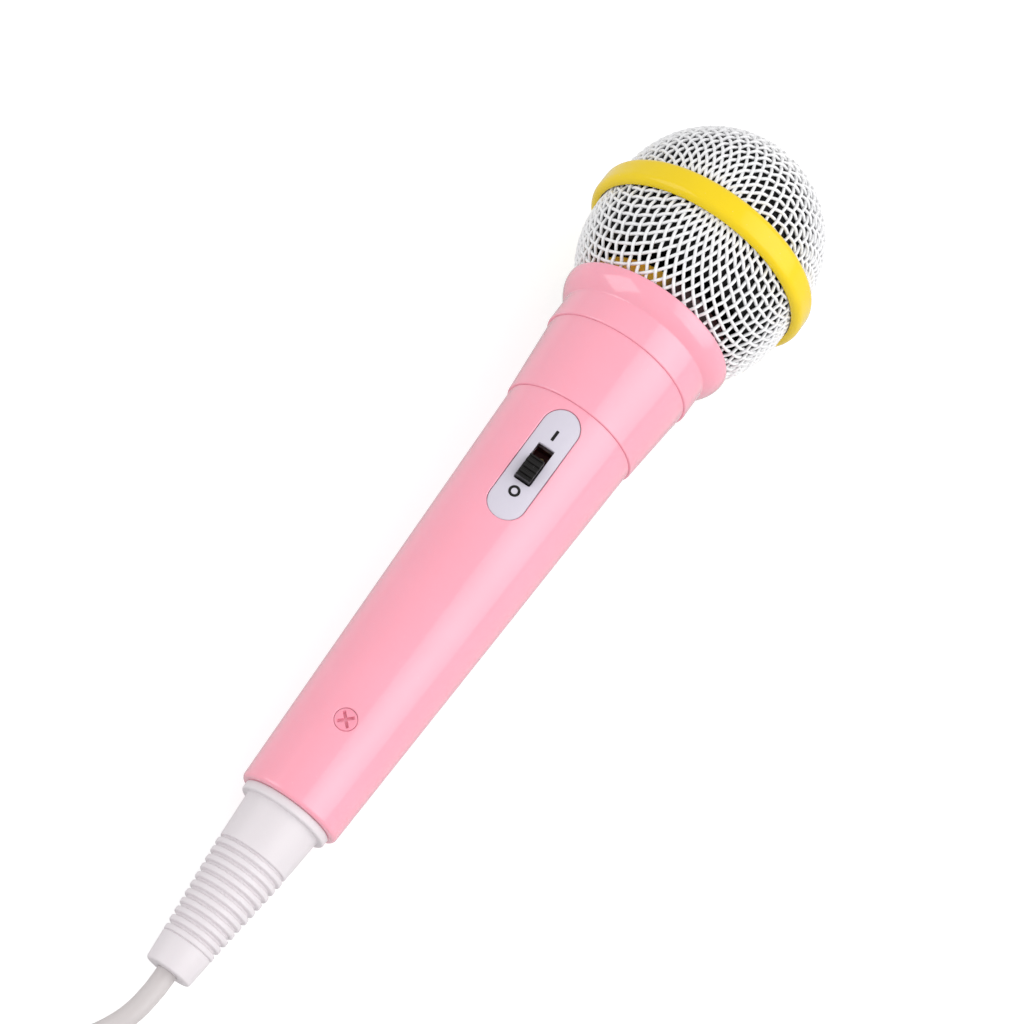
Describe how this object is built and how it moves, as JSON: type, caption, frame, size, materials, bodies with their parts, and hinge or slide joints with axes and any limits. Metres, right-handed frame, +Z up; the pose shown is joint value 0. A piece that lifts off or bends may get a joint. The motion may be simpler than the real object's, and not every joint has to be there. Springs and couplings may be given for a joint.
{
  "type": "toy microphone",
  "caption": "Hand-held toy microphone with a woven-wire ball head, banded grille, tapered handle, slide switch, ribbed strain relief and a coiled cord with a jack plug.",
  "frame": {"origin": "on the surface that the microphone lies on, under the middle of its box without the cord", "axes": "+X toward the head along the length, +Z up through the switch side, +Y to the left when looking toward the head"},
  "size_m": [0.3571, 0.0725, 0.0558],
  "materials": {
    "pink_plastic": "glossy moulded plastic",
    "pink_screw": "painted screw head",
    "white_wire": "white powder-coated steel wire",
    "yellow_plastic": "glossy moulded plastic",
    "black_foam": "open-cell foam",
    "amber_plastic": "translucent moulded plastic",
    "capsule_steel": "plated steel",
    "capsule_black": "moulded plastic",
    "clear_film": "thin polyester film",
    "copper_wire": "enamelled copper wire",
    "dark_magnet": "ferrite and soft iron",
    "lavender_plastic": "satin moulded plastic",
    "switch_steel": "plated steel",
    "dark_red_board": "pressed phenolic",
    "brass_pins": "plated brass",
    "black_knob": "satin moulded plastic",
    "ivory_plastic": "moulded plastic",
    "white_boot": "satin soft plastic",
    "white_cord": "satin soft plastic",
    "red_wire": "insulated wire",
    "yellow_wire": "insulated wire",
    "black_wire": "insulated wire",
    "grey_tie": "hook-and-loop strap",
    "white_grip": "satin soft plastic",
    "nickel": "nickel plate",
    "black_ring": "moulded plastic"
  },
  "bodies": {
    "microphone": {"handle_tube": "pink_plastic", "neck_housing": "pink_plastic", "head_collar": "pink_plastic", "handle_screw": "pink_screw", "lower_grille": "white_wire", "upper_grille": "white_wire", "grille_band": "yellow_plastic", "foam_dome": "black_foam", "foam_ring": "black_foam", "capsule_cradle": "amber_plastic", "capsule_case": "capsule_steel", "pole_plate": "capsule_steel", "capsule_front_cap": "capsule_black", "diaphragm": "clear_film", "voice_coil": "copper_wire", "capsule_magnet": "dark_magnet", "magnet_yoke": "dark_magnet", "switch_plate": "lavender_plastic", "switch_frame": "switch_steel", "cable_crimp": "switch_steel", "switch_base": "dark_red_board", "switch_terminals": "brass_pins", "tail_block": "ivory_plastic", "strain_relief_boot": "white_boot", "inner_cord": "white_cord", "cord_lead": "white_cord", "cord_coil": "white_cord", "cord_tail": "white_cord", "signal_wire": "red_wire", "link_wire": "yellow_wire", "ground_wire": "black_wire", "cord_tie": "grey_tie", "plug_grip": "white_grip", "plug_sleeve": "nickel", "plug_tip": "nickel", "plug_insulator": "black_ring"},
    "switch_slider": {"switch_knob": "black_knob", "switch_contact": "brass_pins"}
  },
  "joints": [
    {"name": "switch_slide", "type": "slide", "parent": "microphone", "child": "switch_slider", "axis": [0.9896, 0, 0.1441], "range_m": [0, 0.0036]}
  ]
}
